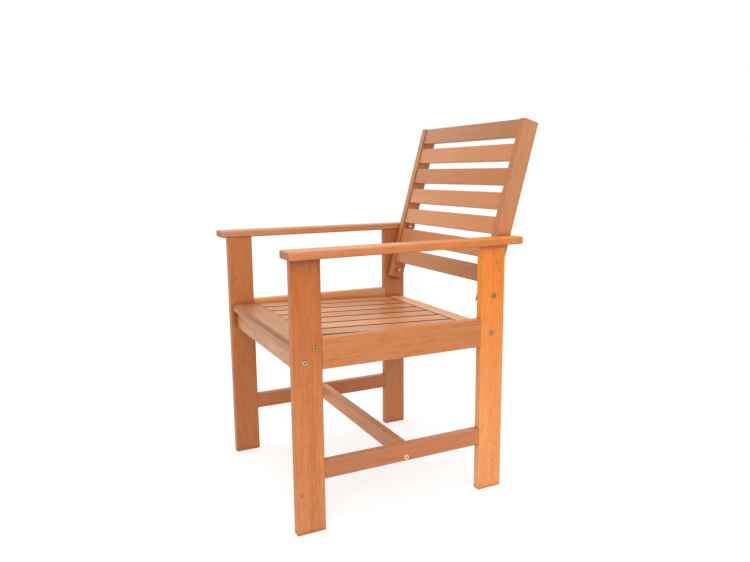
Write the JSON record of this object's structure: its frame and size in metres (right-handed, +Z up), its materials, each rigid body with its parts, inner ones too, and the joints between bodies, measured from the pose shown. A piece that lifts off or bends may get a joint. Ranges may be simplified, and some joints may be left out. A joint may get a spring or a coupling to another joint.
{
  "type": "garden armchair",
  "caption": "Fixed outdoor armchair of oiled hardwood boards, held by brass-coloured socket bolts, with flat tapering armrests, a slatted seat that falls to the rear and a raked slatted back.",
  "frame": {"origin": "on the floor under the middle of the chair's overall box, on the chair's middle plane", "axes": "+Z up, the sitter faces -Y, the sitter's left is +X"},
  "size_m": [0.6256, 0.6568, 0.9101],
  "materials": {
    "leg_wood": "oiled orange-brown hardwood, straight grain along the board",
    "arm_wood": "oiled pinkish-brown hardwood, straight grain along the board",
    "rail_wood": "oiled orange-brown hardwood, straight grain along the board",
    "seat_wood": "oiled pinkish-brown hardwood, straight grain along the board",
    "back_wood": "oiled tan-brown hardwood, straight grain along the board",
    "dowel_wood": "plain beech",
    "brass_plating": "yellow-zinc or brass-plated steel, satin"
  },
  "bodies": {
    "root": {"front_leg_left": "leg_wood", "rear_leg_left": "leg_wood", "armrest_left": "arm_wood", "side_rail_left": "rail_wood", "side_stretcher_left": "rail_wood", "back_stile_left": "back_wood", "front_leg_right": "leg_wood", "rear_leg_right": "leg_wood", "armrest_right": "arm_wood", "side_rail_right": "rail_wood", "side_stretcher_right": "rail_wood", "back_stile_right": "back_wood", "cross_stretcher": "rail_wood", "front_apron": "rail_wood", "seat_front_board": "seat_wood", "seat_rear_board": "seat_wood", "seat_slat_1": "seat_wood", "seat_slat_2": "seat_wood", "seat_slat_3": "seat_wood", "seat_slat_4": "seat_wood", "seat_slat_5": "seat_wood", "seat_slat_6": "seat_wood", "seat_slat_7": "seat_wood", "seat_slat_8": "seat_wood", "back_slat_1": "back_wood", "back_slat_2": "back_wood", "back_slat_3": "back_wood", "back_slat_4": "back_wood", "back_slat_5": "back_wood", "back_slat_6": "back_wood", "back_slat_7": "back_wood", "seat_bolts": "brass_plating", "stretcher_bolts": "brass_plating", "stile_bolts": "brass_plating", "arm_bolts": "brass_plating", "barrel_nuts": "brass_plating", "cap_nuts": "brass_plating", "washers": "brass_plating", "rail_dowels": "dowel_wood", "stretcher_dowels": "dowel_wood", "arm_dowels": "dowel_wood"}
  },
  "joints": []
}
